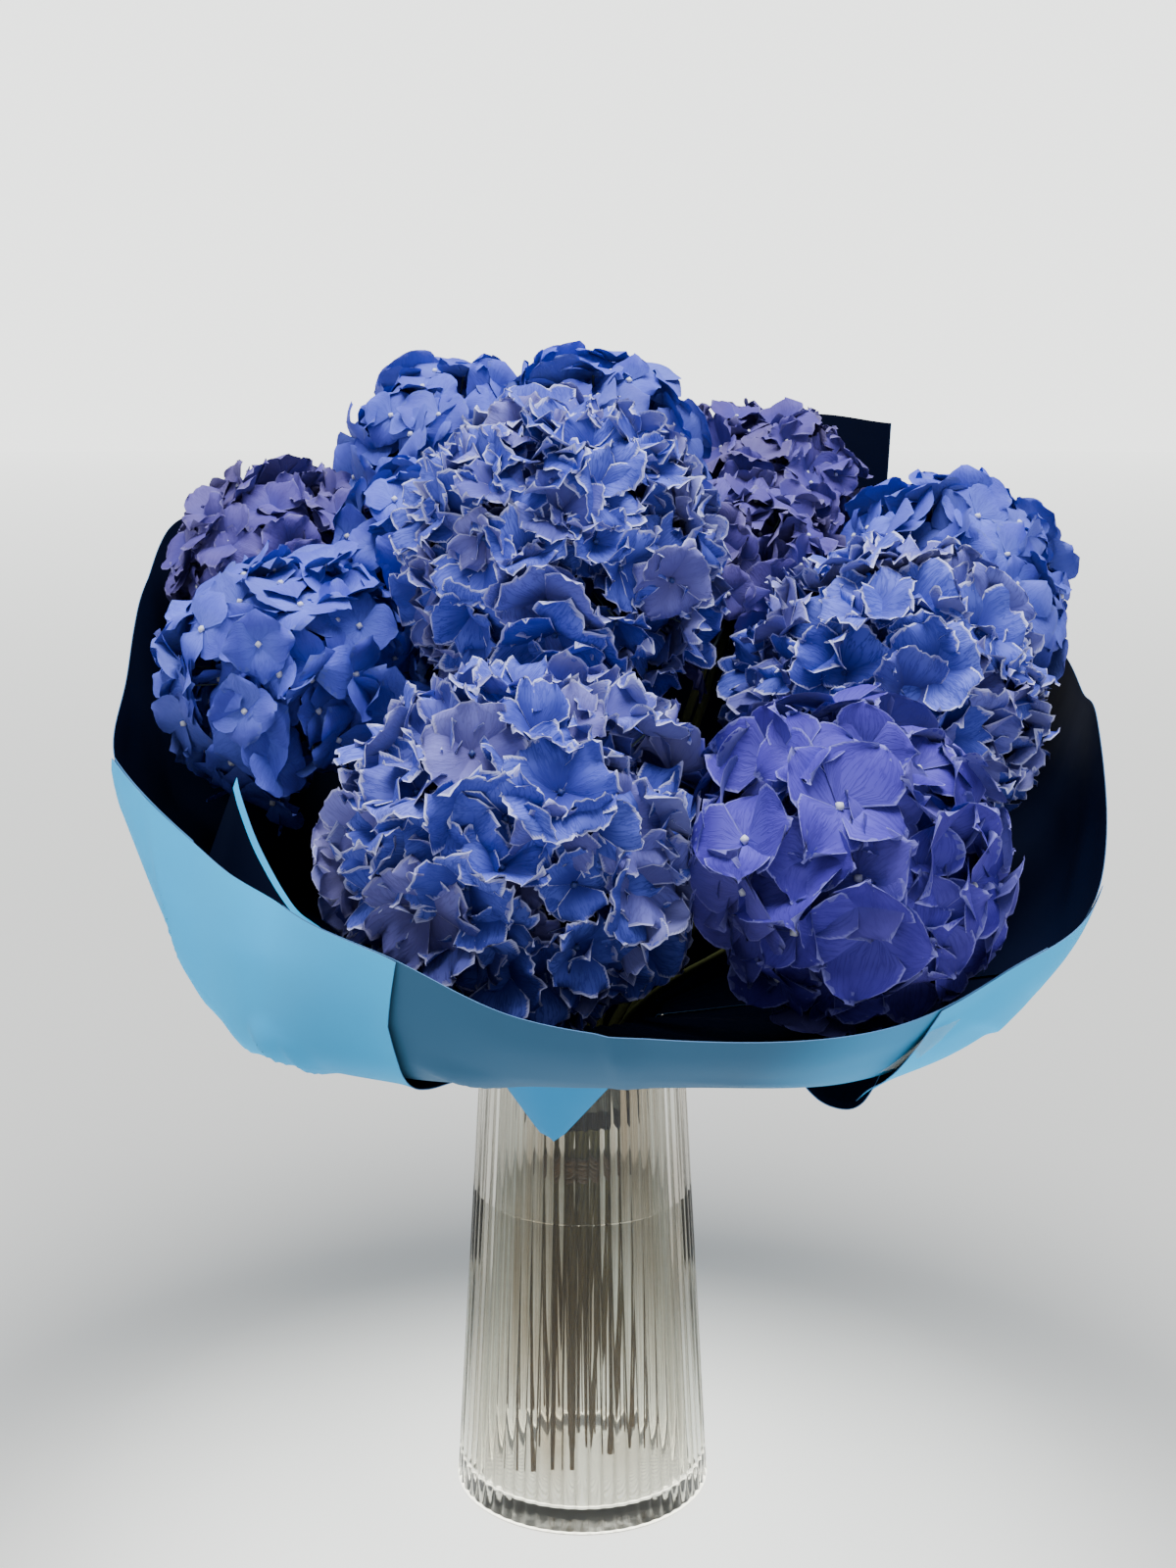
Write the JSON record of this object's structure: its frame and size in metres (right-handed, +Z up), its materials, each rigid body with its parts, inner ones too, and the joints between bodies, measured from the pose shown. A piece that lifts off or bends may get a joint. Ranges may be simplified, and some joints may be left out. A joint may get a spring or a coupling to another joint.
{
  "type": "hydrangeas in a vase",
  "caption": "Cut blue and mauve mophead hydrangeas in a two-tone paper wrap, standing in water in a tall ribbed clear glass vase.",
  "frame": {"origin": "middle of the vase's foot, on the surface it stands on", "axes": "+Z up along the vase; -Y is the open front of the bouquet, where the wrap is lowest; +X to the right seen from the front"},
  "size_m": [0.5768, 0.6237, 0.6869],
  "materials": {
    "vase_glass": "clear, glossy, ribbed outside",
    "water": "clear water",
    "stem": "woody green-brown bark",
    "twine": "brown natural twine",
    "paper": "matte, light blue outside, navy inside",
    "tape": "clear sticky tape",
    "petals_blue": "matte petals, cornflower blue",
    "petals_frilled": "matte frilled petals, blue with pale edges",
    "petals_violet": "matte petals, violet blue",
    "petals_mauve": "matte petals, mauve"
  },
  "bodies": {
    "root": {"vase": "vase_glass", "water": "water", "stem_01": "stem", "stem_02": "stem", "stem_03": "stem", "stem_04": "stem", "stem_05": "stem", "stem_06": "stem", "stem_07": "stem", "stem_08": "stem", "stem_09": "stem", "stem_10": "stem", "stem_11": "stem", "stem_12": "stem", "stem_13": "stem", "twine": "twine", "paper_left_front": "paper", "paper_front": "paper", "paper_right_front": "paper", "paper_right": "paper", "paper_back": "paper", "paper_left": "paper", "paper_corner": "paper", "tape_neck": "tape", "tape_patch": "tape", "head_front": "petals_frilled", "head_front_right": "petals_violet", "head_right": "petals_frilled", "head_back_right": "petals_blue", "head_back_middle": "petals_mauve", "head_back": "petals_blue", "head_back_left": "petals_blue", "head_left_back": "petals_mauve", "head_left": "petals_blue", "head_middle": "petals_frilled", "head_middle_back": "petals_blue", "head_middle_left": "petals_blue", "head_middle_right": "petals_mauve"}
  },
  "joints": []
}
